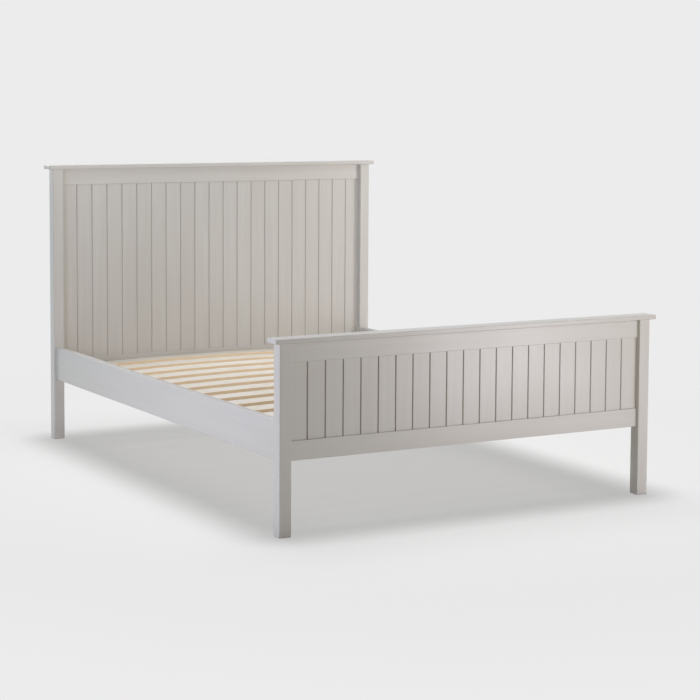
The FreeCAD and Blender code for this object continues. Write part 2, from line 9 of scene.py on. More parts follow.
import bpy
import numpy as np
from mathutils import Matrix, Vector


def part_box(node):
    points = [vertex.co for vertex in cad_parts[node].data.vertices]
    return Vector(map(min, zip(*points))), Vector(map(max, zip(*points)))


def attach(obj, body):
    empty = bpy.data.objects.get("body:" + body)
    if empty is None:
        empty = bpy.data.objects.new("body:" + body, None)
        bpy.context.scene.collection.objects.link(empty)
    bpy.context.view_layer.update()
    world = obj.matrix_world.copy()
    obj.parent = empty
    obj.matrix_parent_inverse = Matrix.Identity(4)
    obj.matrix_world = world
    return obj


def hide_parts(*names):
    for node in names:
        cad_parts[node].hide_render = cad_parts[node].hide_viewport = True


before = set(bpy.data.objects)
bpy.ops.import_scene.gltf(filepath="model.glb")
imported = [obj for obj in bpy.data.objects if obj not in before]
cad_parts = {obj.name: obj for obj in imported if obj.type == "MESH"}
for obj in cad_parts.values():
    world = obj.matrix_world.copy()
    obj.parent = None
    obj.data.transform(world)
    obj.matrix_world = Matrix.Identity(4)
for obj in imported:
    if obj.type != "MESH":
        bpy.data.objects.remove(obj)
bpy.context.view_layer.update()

# Slat base, in step with the solids
SLAT_HALF_SPAN = 0.683
SLAT_CROWN = 0.014
SLAT_END_UNDERSIDE = 0.280
SLAT_THICKNESS = 0.012
SLAT_PLIES = 7
SLAT_NAMES = [f"slat_{number:02d}" for number in range(1, 15)]
BEND_RADIUS = (SLAT_HALF_SPAN**2 + SLAT_CROWN**2) / (2 * SLAT_CROWN)

# Boarded panels
BOARD_COUNT = 21
PANEL_HALF_WIDTH = 0.677

# Woven tape. Its edges are thicker than its middle by the selvedge's share.
TAPE_WIDTH = 0.030
TAPE_THICKNESS = 0.001
SELVEDGE_SHARE = 0.22
TAPE_EDGE_THICKNESS = (1 + SELVEDGE_SHARE) * TAPE_THICKNESS
TAPE_SAG = 0.0016
TAPE_CLEARANCE = 0.0001
TAPE_STATIONS = 600
TAPE_SIDES = 28

# Weave on the tape, and the darker stripe near each of its edges
CHEVRON_ARM = 0.0030
TWILL_PITCH = 0.0016
PICK_PITCH = 0.0008
END_PITCH = 0.0010
STRIPE_PLACE = 0.0095
STRIPE_HALF_WIDTH = 0.0006
STRIPE_FADE = 0.0009

# Staples, two under each slat
STAPLE_CROWN = 0.011
STAPLE_LEG = 0.0035
STAPLE_BEND = 0.0008
STAPLE_WIRE = 0.0011
STAPLE_FLATNESS = 0.7
STAPLE_SPREAD = 0.021

# Pan heads of the screws in the ledges and in the end slats
HEAD_RADIUS = 0.0040
HEAD_HEIGHT = 0.0022
HEAD_SUNK = 0.0004
HEAD_SIDES = 40
HEAD_RINGS = 15
CROSS_HALF_WIDTH = 0.00052
CROSS_REACH = 0.0021
CROSS_DEPTH = 0.0013
END_SCREW_REACH = 0.672


def slat_underside(across):
    """Height of a slat's underside: the crown's level less the square of across over two radii."""
    return SLAT_END_UNDERSIDE + SLAT_CROWN - across**2 / (2 * BEND_RADIUS)


def slat_rows():
    """The lowest and highest y of every slat, one row each, from the foot to the head."""
    boxes = [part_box(name) for name in SLAT_NAMES]
    return np.array([[low.y, high.y] for low, high in boxes])


# Meshes


def put(name, data):
    """An object in the scene that shows this data."""
    made = bpy.data.objects.new(name, data)
    bpy.context.scene.collection.objects.link(made)
    return made


def mesh_object(name, points, finish, lay=None):
    """A mesh of closed shells from an array of shape (shells, rings, sides, 3).

    Side k of a ring joins side k + 1, and the last side joins the first. Each ring joins the next,
    and the first and last rings are filled, so a shell has no open edge. lay holds the UV of each
    point, of shape (shells, rings, sides, 2).
    """
    shells, rings, sides = points.shape[:3]
    index = np.arange(shells * rings * sides).reshape(shells, rings, sides)
    beside = np.roll(index, -1, axis=2)
    quads = np.stack([index[:, :-1], beside[:, :-1], beside[:, 1:], index[:, 1:]], axis=-1)
    ends = np.concatenate([index[:, 0, ::-1], index[:, -1]])
    mesh = bpy.data.meshes.new(name)
    mesh.from_pydata(points.reshape(-1, 3).tolist(), [], quads.reshape(-1, 4).tolist() + ends.tolist())
    if lay is not None:
        corners = np.empty(len(mesh.loops), dtype=np.int64)
        mesh.loops.foreach_get("vertex_index", corners)
        mesh.uv_layers.new(name="lay").data.foreach_set("uv", lay.reshape(-1, 2)[corners].ravel())
    mesh.polygons.foreach_set("use_smooth", np.full(len(mesh.polygons), True))
    mesh.materials.append(finish)
    mesh.update()
    piece = put(name, mesh)
    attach(piece, "root")
    return piece


def tape_middle(node):
    """The x of a tape's middle line."""
    low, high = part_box(node)
    return (low.x + high.x) / 2


def tape_section():
    """Points round the tape's section: a flat superellipse with thicker edges, which are the selvedges."""
    squareness, selvedge_power = 0.45, 6
    turn = np.linspace(0, 2 * np.pi, TAPE_SIDES, endpoint=False)
    across = np.sign(np.cos(turn)) * np.abs(np.cos(turn)) ** squareness * TAPE_WIDTH / 2
    up = np.sign(np.sin(turn)) * np.abs(np.sin(turn)) ** squareness * TAPE_THICKNESS / 2
    return across, up * (1 + SELVEDGE_SHARE * np.abs(across / (TAPE_WIDTH / 2)) ** selvedge_power)


def make_tape(name, node, finish):
    """A woven tape under the slats.

    Along the bed the tape touches each slat and hangs between two of them: its drop is the sag times
    the squared sine of the share of the gap. Its width ripples a little. Across it, the section
    follows the slats' bend.
    """
    low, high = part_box(node)
    rows = slat_rows()
    stations = np.linspace(low.y, high.y, TAPE_STATIONS)
    starts, stops = rows[:-1, 1], rows[1:, 0]
    gap = np.clip(np.searchsorted(starts, stations) - 1, 0, len(starts) - 1)
    share = np.clip((stations - starts[gap]) / (stops[gap] - starts[gap]), 0, 1)
    drop = TAPE_SAG * np.sin(np.pi * share) ** 2
    ripple_share, long_ripple, short_ripple = 0.012, 0.113, 0.047
    waves = np.sin(stations * 2 * np.pi / long_ripple), np.sin(stations * 2 * np.pi / short_ripple)
    ripple = 1 + ripple_share * waves[0] * waves[1]
    across, up = tape_section()
    x = tape_middle(node) + ripple[:, None] * across[None, :]
    level = slat_underside(x) - TAPE_CLEARANCE - TAPE_EDGE_THICKNESS / 2 - drop[:, None]
    y = np.broadcast_to(stations[:, None], x.shape)
    points = np.stack([x, y, level + up[None, :]], axis=-1)[None]
    lay = np.stack([np.broadcast_to(across[None, :], x.shape), y], axis=-1)[None]
    piece = mesh_object(name, points, finish, lay)
    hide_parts(node)


def make_staples(name, tape_node, finish):
    """Two staples under every slat, across the tape.

    A staple's line goes down one leg, along the crown and up the other leg, with its two corners
    rounded. The section is a flattened ring that is carried along that line.
    """
    corner_points, wire_sides = 4, 6
    middle = tape_middle(tape_node)
    rows = slat_rows().mean(axis=1)
    lines = np.concatenate([rows - STAPLE_SPREAD, rows + STAPLE_SPREAD])
    half = STAPLE_CROWN / 2
    turn = np.linspace(0, np.pi / 2, corner_points)
    corner_x = -half + STAPLE_BEND - STAPLE_BEND * np.cos(turn)
    corner_z = STAPLE_BEND - STAPLE_BEND * np.sin(turn)
    line_x = np.concatenate([[-half], corner_x, -corner_x[::-1], [half]])
    line_z = np.concatenate([[STAPLE_LEG], corner_z, corner_z[::-1], [STAPLE_LEG]])
    along = np.stack([np.gradient(line_x), np.gradient(line_z)], axis=-1)
    along /= np.linalg.norm(along, axis=-1, keepdims=True)
    ring = np.linspace(0, 2 * np.pi, wire_sides, endpoint=False)
    wide = np.cos(ring) * STAPLE_WIRE / 2
    deep = np.sin(ring) * STAPLE_WIRE * STAPLE_FLATNESS / 2
    x = line_x[:, None] - along[:, 1:2] * deep[None, :]
    z = line_z[:, None] + along[:, 0:1] * deep[None, :]
    y = np.broadcast_to(wide[None, :], x.shape)
    crown_level = slat_underside(middle) - TAPE_EDGE_THICKNESS
    points = np.stack([x + middle, y, z + crown_level], axis=-1)[None].repeat(len(lines), axis=0)
    points[..., 1] += lines[:, None, None]
    mesh_object(name, points, finish)


def screw_head():
    """A pan head with a cross recess, standing on its rim and facing up.

    From the rim inwards the head rises as a superellipse of the radius. The recess is sunk by a
    smooth cross: deep where the smaller of the two plan coordinates is small and the larger one is
    inside the arm's reach.
    """
    dome_power, first_turn, last_turn = 2.6, 0.12, np.pi / 2 - 0.03
    side_blur, end_blur = 0.00007, 0.0001
    turn = np.linspace(0, 2 * np.pi, HEAD_SIDES, endpoint=False)
    share = np.concatenate([[1.0, 1.0], np.cos(np.linspace(first_turn, last_turn, HEAD_RINGS))])
    radius = share * HEAD_RADIUS
    rise = HEAD_HEIGHT * (1 - share**dome_power) ** (1 / dome_power)
    rise[0] = -HEAD_SUNK
    x = radius[:, None] * np.cos(turn)[None, :]
    y = radius[:, None] * np.sin(turn)[None, :]
    smaller = np.minimum(np.abs(x), np.abs(y))
    larger = np.maximum(np.abs(x), np.abs(y))
    inside_width = 1 / (1 + np.exp((smaller - CROSS_HALF_WIDTH) / side_blur))
    arm = inside_width / (1 + np.exp((larger - CROSS_REACH) / end_blur))
    z = rise[:, None] - CROSS_DEPTH * arm * (1 - larger / HEAD_RADIUS)
    return np.stack([x, y, z], axis=-1)


def make_screws(name, places, facing, finish):
    """Screw heads at the given places, all facing along one direction and each turned its own way."""
    head = screw_head()
    turns = np.random.default_rng(len(places)).uniform(0, np.pi / 2, len(places))
    out = np.array(facing, float)
    side = np.array([0.0, 1.0, 0.0])
    across = np.cross(side, out)
    cos, sin = np.cos(turns)[:, None, None], np.sin(turns)[:, None, None]
    first = cos * head[None, ..., 0] - sin * head[None, ..., 1]
    second = sin * head[None, ..., 0] + cos * head[None, ..., 1]
    points = first[..., None] * side + second[..., None] * across + head[None, ..., 2:3] * out
    mesh_object(name, points + np.array(places)[:, None, None, :], finish)


def screw_down(finish):
    """The screws of each ledge, in every other gap between two slats, and those of the end slats."""
    rows = slat_rows()
    gap_middles = (rows[:-1, 1] + rows[1:, 0]) / 2
    for side, inwards in (("left", 1), ("right", -1)):
        low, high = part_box(f"slat_ledge_{side}")
        face = high.x if inwards > 0 else low.x
        level = (low.z + high.z) / 2
        places = [(face, y, level) for y in gap_middles[::2]]
        make_screws(f"ledge_screws_{side}", places, (inwards, 0, 0), finish)
    top = float(slat_underside(END_SCREW_REACH)) + SLAT_THICKNESS
    end_rows = rows[[0, -1]].mean(axis=1)
    places = [(x, y, top) for x in (-END_SCREW_REACH, END_SCREW_REACH) for y in end_rows]
    make_screws("end_slat_screws", places, (0, 0, 1), finish)


# Shared effects

# The colour sockets of a Mix node, which has a set of sockets for each kind of data
MIX_SHARE, MIX_FIRST, MIX_SECOND, MIX_RESULT = 0, 6, 7, 2


class Graph:
    """Adds nodes to one node tree and links them, so that each line of a finish is one effect."""

    def __init__(self, tree):
        self.tree = tree

    def node(self, kind, **settings):
        made = self.tree.nodes.new(kind)
        for name, value in settings.items():
            setattr(made, name, value)
        return made

    def feed(self, socket, value):
        """Links an output to this socket, or gives the socket a value of its own."""
        if isinstance(value, bpy.types.NodeSocket):
            self.tree.links.new(value, socket)
        else:
            socket.default_value = value

    def fill(self, made, given):
        """Feeds a node's inputs, which are given by their labels."""
        for label, value in given.items():
            self.feed(made.inputs[label], value)

    def math(self, operation, first, second=0.0, third=0.0):
        made = self.node("ShaderNodeMath", operation=operation)
        for socket, value in zip(made.inputs, (first, second, third)):
            self.feed(socket, value)
        return made.outputs[0]

    def times(self, first, second):
        return self.math("MULTIPLY", first, second)

    def plus(self, base, value, amount):
        """The base, with the value times the amount on top of it."""
        return self.math("MULTIPLY_ADD", value, amount, base)

    def wave(self, value, pitch):
        """The sine of a value that goes once round in each pitch."""
        return self.math("SINE", self.times(value, 2 * math.pi / pitch))

    def between(self, value, low, high, to_low=0.0, to_high=1.0):
        """value taken smoothly from one range to another, and held at the ends."""
        made = self.node("ShaderNodeMapRange", interpolation_type="SMOOTHSTEP")
        ranges = {"From Min": low, "From Max": high, "To Min": to_low, "To Max": to_high}
        self.fill(made, {"Value": value, **ranges})
        return made.outputs["Result"]

    def blend(self, share, first, second):
        """From the first colour to the second one, by this share."""
        made = self.node("ShaderNodeMix", data_type="RGBA")
        self.feed(made.inputs[MIX_SHARE], share)
        self.feed(made.inputs[MIX_FIRST], first)
        self.feed(made.inputs[MIX_SECOND], second)
        return made.outputs[MIX_RESULT]

    def vector(self, operation, *vectors):
        """Vector arithmetic: its result is a value for LENGTH, and else a vector."""
        made = self.node("ShaderNodeVectorMath", operation=operation)
        for socket, value in zip(made.inputs, vectors):
            self.feed(socket, value)
        return made.outputs["Value" if operation == "LENGTH" else "Vector"]

    def split(self, vector):
        made = self.node("ShaderNodeSeparateXYZ")
        self.feed(made.inputs[0], vector)
        return made.outputs

    def stretched(self, vector, scale, shift=(0, 0, 0)):
        made = self.node("ShaderNodeMapping")
        self.fill(made, {"Vector": vector, "Scale": scale, "Location": shift})
        return made.outputs["Vector"]

    def noise(self, vector, scale, detail, roughness=0.5, distortion=0.0):
        made = self.node("ShaderNodeTexNoise")
        shape = {"Detail": detail, "Roughness": roughness, "Distortion": distortion}
        self.fill(made, {"Vector": vector, "Scale": scale, **shape})
        return made.outputs["Fac"]

    def effect(self, group, **values):
        """Places a shared group, gives its inputs these values and returns its outputs."""
        made = self.node("ShaderNodeGroup", node_tree=group)
        self.fill(made, values)
        return made.outputs

    def bump(self, height, strength, distance, normal=None):
        made = self.node("ShaderNodeBump")
        self.fill(made, {"Height": height, "Strength": strength, "Distance": distance})
        if normal is not None:
            self.feed(made.inputs["Normal"], normal)
        return made.outputs["Normal"]

    def points(self):
        """Object coordinates, in metres."""
        return self.node("ShaderNodeTexCoord").outputs["Object"]

    def facing(self):
        """The x, y and z parts of the surface's normal."""
        return self.split(self.node("ShaderNodeTexCoord").outputs["Normal"])


VECTOR, VALUE = "NodeSocketVector", "NodeSocketFloat"


def effect_group(name, inputs, outputs):
    """An empty shader node group: its graph, its input sockets and its end node's sockets.

    inputs gives each input's kind, and all outputs are values.
    """
    tree = bpy.data.node_groups.new(name, "ShaderNodeTree")
    for label, kind in inputs.items():
        tree.interface.new_socket(label, in_out="INPUT", socket_type=kind)
    for label in outputs:
        tree.interface.new_socket(label, in_out="OUTPUT", socket_type=VALUE)
    graph = Graph(tree)
    return graph, graph.node("NodeGroupInput").outputs, graph.node("NodeGroupOutput").inputs


def make_arris_effect():
    """Mask of the rounded arrises of square work, from the largest part of the normal.

    On a flat face that part is all of the normal, and the mask is 0. On an arris it falls, and the
    mask is 1 from where it reaches Reach.
    """
    flat = 0.995
    graph, given, out = effect_group("arris mask", {"Reach": VALUE}, ["Mask"])
    sizes = [graph.math("ABSOLUTE", part) for part in graph.facing()]
    largest = graph.math("MAXIMUM", graph.math("MAXIMUM", sizes[0], sizes[1]), sizes[2])
    graph.feed(out["Mask"], graph.between(largest, flat, given["Reach"]))
    return graph.tree


def make_grain_effect():
    """Grain of planed timber, on coordinates that come in squeezed across the grain.

    Height is the sum of fine pores and of slow growth bands that wander sideways, and Tone is the
    bands alone, both about a half.
    """
    pore_share, band_share = 0.62, 0.38
    graph, given, out = effect_group(
        "grain under the finish",
        {"Vector": VECTOR, "Pores": VALUE, "Bands": VALUE, "Wander": VALUE},
        ["Height", "Tone"],
    )
    pores = graph.noise(given["Vector"], given["Pores"], detail=4.0, roughness=0.62, distortion=0.15)
    bands = graph.noise(
        given["Vector"], given["Bands"], detail=3.0, roughness=0.55, distortion=given["Wander"]
    )
    tone = graph.between(bands, 0.3, 0.7)
    graph.feed(out["Height"], graph.plus(graph.times(tone, band_share), pores, pore_share))
    graph.feed(out["Tone"], tone)
    return graph.tree


def make_spray_effect():
    """The skin that a sprayed lacquer dries with: a fine orange peel and slower clouds of sheen."""
    graph, given, out = effect_group("sprayed skin", {"Vector": VECTOR}, ["Peel", "Clouds"])
    graph.feed(out["Peel"], graph.noise(given["Vector"], 420.0, detail=2.0, roughness=0.55))
    clouds = graph.noise(given["Vector"], 5.5, detail=3.0)
    graph.feed(out["Clouds"], graph.between(clouds, 0.25, 0.75))
    return graph.tree


def make_dust_effect():
    """Fine dust that settles on what faces up: the normal's rise, broken up by slow noise."""
    graph, given, out = effect_group("settled dust", {"Vector": VECTOR, "Amount": VALUE}, ["Mask"])
    slow = graph.noise(given["Vector"], 9.0, detail=5.0, roughness=0.6)
    patches = graph.between(slow, 0.3, 0.8, to_low=0.35, to_high=1.0)
    up = graph.between(graph.facing()[2], 0.6, 1.0)
    graph.feed(out["Mask"], graph.times(graph.times(up, patches), given["Amount"]))
    return graph.tree


def make_board_effect():
    """Tone of each board: a random number for the count of board pitches from the panel's edge.

    The count is shifted one way at the headboard and the other way at the footboard, so that their
    boards differ.
    """
    end_shift = 57.0
    graph, given, out = effect_group("board by board", {"Vector": VECTOR, "Pitch": VALUE}, ["Tone"])
    place = graph.split(given["Vector"])
    across = graph.math("DIVIDE", graph.math("ADD", place[0], PANEL_HALF_WIDTH), given["Pitch"])
    end = graph.times(graph.math("SIGN", place[1]), end_shift)
    number = graph.node("ShaderNodeTexWhiteNoise", noise_dimensions="1D")
    graph.feed(number.inputs["W"], graph.math("ADD", graph.math("FLOOR", across), end))
    graph.feed(out["Tone"], number.outputs["Value"])
    return graph.tree


ARRIS = make_arris_effect()
GRAIN = make_grain_effect()
SPRAY = make_spray_effect()
DUST = make_dust_effect()
BOARDS = make_board_effect()


# Finishes


def srgb(red, green, blue):
    """A colour given in 0 to 255 as it looks, turned to the light values that Blender takes."""
    parts = np.array([red, green, blue]) / 255
    light = np.where(parts <= 0.04045, parts / 12.92, ((parts + 0.055) / 1.055) ** 2.4)
    return (*light.tolist(), 1.0)


LACQUER = srgb(197, 193, 187)
LACQUER_BANDS = srgb(201, 198, 192)
LACQUER_CLOUDS = srgb(199, 195, 188)
LACQUER_DEEP_BOARD = srgb(191, 186, 179)
LACQUER_ARRIS_WEAR_AND_SHADE = srgb(172, 167, 159)
LACQUER_JOINT_SHADE = srgb(138, 129, 117)
LACQUER_DUST = srgb(214, 210, 203)
VENEER = srgb(233, 225, 209)
VENEER_BANDS = srgb(240, 234, 221)
VENEER_FLAME = srgb(226, 211, 184)
PLY = srgb(237, 204, 160)
PLY_CROSSED = srgb(245, 221, 186)
PLY_STREAKS = srgb(247, 228, 197)
PLY_GLUE = srgb(204, 164, 118)
PINE = srgb(226, 196, 148)
PINE_BANDS = srgb(206, 166, 112)
PINE_KNOT = srgb(138, 88, 48)
TAPE_VALLEY_SHADE = srgb(176, 170, 158)
TAPE_THREADS = srgb(224, 219, 208)
TAPE_FLUFF = srgb(236, 232, 222)
TAPE_STRIPE = srgb(150, 146, 138)

# Scale of an object's coordinates that squeezes them across the grain, by the axis that it follows
SQUEEZE = 22.0
ALONG = {"x": (1.0, SQUEEZE, SQUEEZE), "y": (SQUEEZE, 1.0, SQUEEZE), "z": (SQUEEZE, SQUEEZE, 1.0)}


def new_finish(name):
    """A material with a Principled shader, and its graph."""
    finish = bpy.data.materials.new(name)
    finish.use_nodes = True
    return finish, Graph(finish.node_tree), finish.node_tree.nodes["Principled BSDF"]


def painted_wood(name, grain, shift, boards=False):
    """Soft grey satin lacquer over close-grained wood, with the grain along one axis.

    Boards differ a little in tone, and their V joints are darkened with painted shade, more at the foot.
    Other work has its arrises darkened, partly as rubbed wear and partly as painted shade that dims their
    highlights.
    """
    finish, graph, shader = new_finish(name)
    points = graph.points()
    lengthways = graph.stretched(points, ALONG[grain], shift)
    figure = graph.effect(GRAIN, Vector=lengthways, Pores=14.0, Bands=2.2, Wander=0.7)
    skin = graph.effect(SPRAY, Vector=points)
    arris_mask = graph.effect(ARRIS, Reach=0.8)["Mask"]
    dust = graph.effect(DUST, Vector=points, Amount=0.10)["Mask"]
    colour = graph.blend(figure["Tone"], LACQUER, LACQUER_BANDS)
    colour = graph.blend(graph.between(skin["Clouds"], 0.0, 1.0, to_high=0.30), colour, LACQUER_CLOUDS)
    if boards:
        tone = graph.effect(BOARDS, Vector=points, Pitch=2 * PANEL_HALF_WIDTH / BOARD_COUNT)["Tone"]
        colour = graph.blend(graph.between(tone, 0.0, 1.0, to_high=0.20), colour, LACQUER_DEEP_BOARD)
        # Painted shade in the V joints, stronger at the foot than at the head.
        joint_shade = graph.between(graph.split(points)[1], -0.1, 0.1, to_low=0.55, to_high=0.12)
        colour = graph.blend(graph.times(arris_mask, joint_shade), colour, LACQUER_JOINT_SHADE)
    else:
        # Arrises darkened: partly rubbed wear, partly painted shade that dims their highlights.
        colour = graph.blend(graph.times(arris_mask, 0.35), colour, LACQUER_ARRIS_WEAR_AND_SHADE)
    rough = graph.plus(0.36, skin["Clouds"], 0.05)
    rough = graph.plus(rough, figure["Height"], 0.06)
    rough = graph.plus(rough, dust, 0.5)
    normal = graph.bump(figure["Height"], strength=0.30, distance=0.00012)
    surface = {
        "Base Color": graph.blend(dust, colour, LACQUER_DUST),
        "Roughness": graph.plus(rough, arris_mask, 0.28),
        "Coat Weight": graph.plus(0.30, arris_mask, -0.22),
        "Coat Roughness": 0.24,
        "Normal": graph.bump(skin["Peel"], strength=0.20, distance=0.00004, normal=normal),
    }
    graph.fill(shader, surface)
    return finish


def slat_laminate():
    """Pale bent laminate: smooth veneer faces, and edges that show the tan plies one over another.

    The plies follow the slat's bend. So a point's ply is counted from the height that it would have
    in the slat's middle: its own, with the square of its x over two bend radii on top.
    """
    finish, graph, shader = new_finish("bent_slat_laminate")
    points = graph.points()
    edge = graph.between(graph.math("ABSOLUTE", graph.facing()[2]), 0.85, 0.55)

    place = graph.split(points)
    bend = graph.math("DIVIDE", graph.times(place[0], place[0]), 2 * BEND_RADIUS)
    level = graph.math("SUBTRACT", graph.math("ADD", place[2], bend), SLAT_END_UNDERSIDE + SLAT_CROWN)
    ply = graph.math("PINGPONG", graph.math("DIVIDE", level, SLAT_THICKNESS / SLAT_PLIES), 1.0)
    crossed = graph.between(ply, 0.35, 0.65)
    off_glue = graph.math("ABSOLUTE", graph.math("SUBTRACT", ply, 0.5))
    glue = graph.between(off_glue, 0.0, 0.12, to_low=1.0, to_high=0.0)

    lengthways = graph.stretched(points, (1.0, 16.0, 16.0), (3.1, 0.4, 0.0))
    grain = graph.effect(GRAIN, Vector=lengthways, Pores=20.0, Bands=2.6, Wander=1.6)
    wide_figure = graph.stretched(points, (2.2, 9.0, 1.0))
    flame = graph.noise(wide_figure, 2.4, detail=4.0, roughness=0.6, distortion=1.2)
    face = graph.blend(grain["Tone"], VENEER, VENEER_BANDS)
    face = graph.blend(graph.times(graph.between(flame, 0.42, 0.72), 0.55), face, VENEER_FLAME)

    streaks = graph.noise(graph.stretched(points, (1.0, 1.0, 30.0)), 26.0, detail=4.0, roughness=0.6)
    sides = graph.blend(crossed, PLY, PLY_CROSSED)
    sides = graph.blend(graph.times(graph.between(streaks, 0.35, 0.7), 0.5), sides, PLY_STREAKS)
    sides = graph.blend(graph.times(glue, 0.35), sides, PLY_GLUE)

    rough = graph.plus(0.54, grain["Height"], 0.16)
    height = graph.plus(grain["Height"], graph.times(crossed, edge), 0.4)
    surface = {
        "Base Color": graph.blend(edge, face, sides),
        "Roughness": graph.plus(rough, edge, 0.14),
        "Normal": graph.bump(height, strength=0.5, distance=0.00018),
    }
    graph.fill(shader, surface)
    return finish


def pine():
    """Planed pine battens: honey bands along the batten, wandering grain and a few small knots."""
    finish, graph, shader = new_finish("planed_pine")
    points = graph.points()
    lengthways = graph.stretched(points, (34.0, 1.6, 34.0), (0.3, 0.0, 0.9))
    figure = graph.effect(GRAIN, Vector=lengthways, Pores=16.0, Bands=3.4, Wander=1.1)
    spots = graph.node("ShaderNodeTexVoronoi")
    graph.fill(spots, {"Vector": graph.stretched(points, (26.0, 4.2, 26.0)), "Scale": 1.0})
    knot = graph.between(spots.outputs["Distance"], 0.10, 0.17, to_low=1.0, to_high=0.0)
    colour = graph.blend(figure["Tone"], PINE, PINE_BANDS)
    surface = {
        "Base Color": graph.blend(graph.times(knot, 0.8), colour, PINE_KNOT),
        "Roughness": graph.plus(0.50, figure["Height"], 0.18),
        "Normal": graph.bump(figure["Height"], strength=0.6, distance=0.0003),
    }
    graph.fill(shader, surface)
    return finish


def zinc(name, tint, roughness):
    """Zinc on steel: a metal with fine drawn lines, faint bloom and duller patches."""
    dulling = 0.86
    finish, graph, shader = new_finish(name)
    points = graph.points()
    drawn = graph.noise(graph.stretched(points, (1.0, 1.0, 0.06)), 2600.0, detail=3.0, roughness=0.6)
    bloom = graph.noise(points, 90.0, detail=4.0, roughness=0.6)
    duller = srgb(*[part * dulling for part in tint])
    rough = graph.plus(roughness, bloom, 0.16)
    surface = {
        "Base Color": graph.blend(graph.between(bloom, 0.35, 0.7), srgb(*tint), duller),
        "Metallic": 1.0,
        "Roughness": graph.plus(rough, drawn, 0.08),
        "Normal": graph.bump(drawn, strength=0.25, distance=0.00004),
    }
    graph.fill(shader, surface)
    return finish


def webbing():
    """Herringbone webbing: threads across and along on the tape's own UV, ends laid in chevrons."""
    finish, graph, shader = new_finish("woven_webbing")
    lay = graph.node("ShaderNodeUVMap", uv_map="lay").outputs["UV"]
    place = graph.split(lay)
    slope = graph.math("ADD", place[1], graph.math("PINGPONG", place[0], CHEVRON_ARM))
    twill = graph.wave(slope, TWILL_PITCH)
    threads = graph.times(graph.wave(place[1], PICK_PITCH), graph.wave(place[0], END_PITCH))
    height = graph.plus(0.5, graph.plus(twill, threads, 0.35), 0.37)
    fibre = graph.noise(graph.stretched(lay, (900.0, 260.0, 1.0)), 1.0, detail=4.0, roughness=0.65)
    # Painted shade: the valleys between the threads are darker than their tops.
    colour = graph.blend(graph.between(height, 0.0, 1.0), TAPE_VALLEY_SHADE, TAPE_THREADS)
    colour = graph.blend(graph.times(graph.between(fibre, 0.3, 0.7), 0.3), colour, TAPE_FLUFF)
    off_stripe = graph.math("SUBTRACT", graph.math("ABSOLUTE", place[0]), STRIPE_PLACE)
    off_stripe = graph.math("ABSOLUTE", off_stripe)
    stripe = graph.between(off_stripe, STRIPE_HALF_WIDTH, STRIPE_FADE, to_low=1.0, to_high=0.0)
    normal = graph.bump(height, strength=0.8, distance=0.0003)
    surface = {
        "Base Color": graph.blend(graph.times(stripe, 0.5), colour, TAPE_STRIPE),
        "Roughness": graph.plus(0.78, fibre, 0.12),
        "Normal": graph.bump(fibre, strength=0.3, distance=0.0001, normal=normal),
        "Sheen Weight": 0.25,
        "Sheen Roughness": 0.5,
    }
    graph.fill(shader, surface)
    return finish


def dress(finish, *names):
    """Gives CAD nodes this finish, in every material slot that they have."""
    for name in names:
        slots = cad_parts[name].data.materials
        for number in range(len(slots)):
            slots[number] = finish


# The stage

# The camera, as fitted to the photograph: its place, and its yaw, pitch and roll in radians
CAMERA_PLACE = (-3.4695, -6.2995, 1.4072)
CAMERA_TURN = (0.514240, -0.084884, 0.005621)

# Name, place, aim, width, height, colour, power in watts
LAMPS = [
    ("left_box", (-4.4, -0.1, 1.5), (-0.7, -0.2, 0.3), 1.6, 2.0, (0.48, 0.83, 1.0), 31.8),
    ("near_left_box", (-2.6, -0.55, 0.9), (-0.7, -0.75, 0.4), 0.8, 0.9, (0.89, 0.81, 1.0), 20.6),
    ("head_box", (0.1, -0.75, 3.0), (0.0, 0.95, 0.75), 2.2, 1.2, (1.0, 1.0, 1.0), 15.0),
    ("high_back_box", (0.2, 1.35, 4.0), (0.0, 0.6, 0.3), 2.4, 1.0, (0.86, 0.89, 1.0), 76.2),
    ("foot_box", (0.6, -2.5, 1.0), (0.3, -1.0, 0.4), 0.7, 0.5, (1.0, 0.94, 0.80), 9.9),
    ("foot_strip", (1.5, -3.1, 0.5), (0.3, -1.0, 0.4), 0.3, 0.9, (0.62, 0.80, 1.0), 4.4),
    ("low_foot_strip", (1.26, -2.65, 0.22), (0.25, -1.0, 0.4), 0.7, 0.3, (0.96, 0.86, 1.0), 7.4),
    ("right_box", (2.6, -0.6, 1.2), (0.6, 0.95, 0.55), 0.8, 0.8, (1.0, 0.98, 0.95), 34.0),
    ("back_box", (-1.2, 5.2, 2.2), (0.0, 1.0, 0.5), 3.0, 2.0, (1.0, 0.98, 0.96), 110.0),
]
FLOOR_WASH = ("floor_wash", (0.3, 0.5, 4.6), (0.0, 0.0, 0.0), 3.4, 3.4, (1.0, 1.0, 1.0), 246.0)
WORLD_LIGHT = 0.09
WORLD_TINT = (1.0, 0.99, 0.98, 1.0)
BACKDROP = srgb(236, 236, 236)

# The floor: a round mesh, its two tones, how it turns into the backdrop, and the shadow painted under the
# bed
FLOOR_LEVEL = -0.0003
FLOOR_RADII = np.concatenate([[0.02], np.linspace(0.5, 14.0, 28)])
FLOOR_SIDES = 96
FLOOR_DARK = srgb(233, 233, 233)
FLOOR_LIGHT = srgb(236, 236, 236)
FLOOR_LIFT = 0.78
LIFT_STARTS, LIFT_ENDS = 1.3, 2.6
FLOOR_SHADE = srgb(194, 194, 194)
SHADE_HALF_SIZE = (0.67, 0.94, 0.0)
SHADE_FADE = 0.24


def looking(place, right, up, ahead):
    """The matrix of a camera or lamp at a place, from its own three directions."""
    turned = Matrix(np.stack([right, up, -ahead], axis=1).tolist()).to_4x4()
    turned.translation = place
    return turned


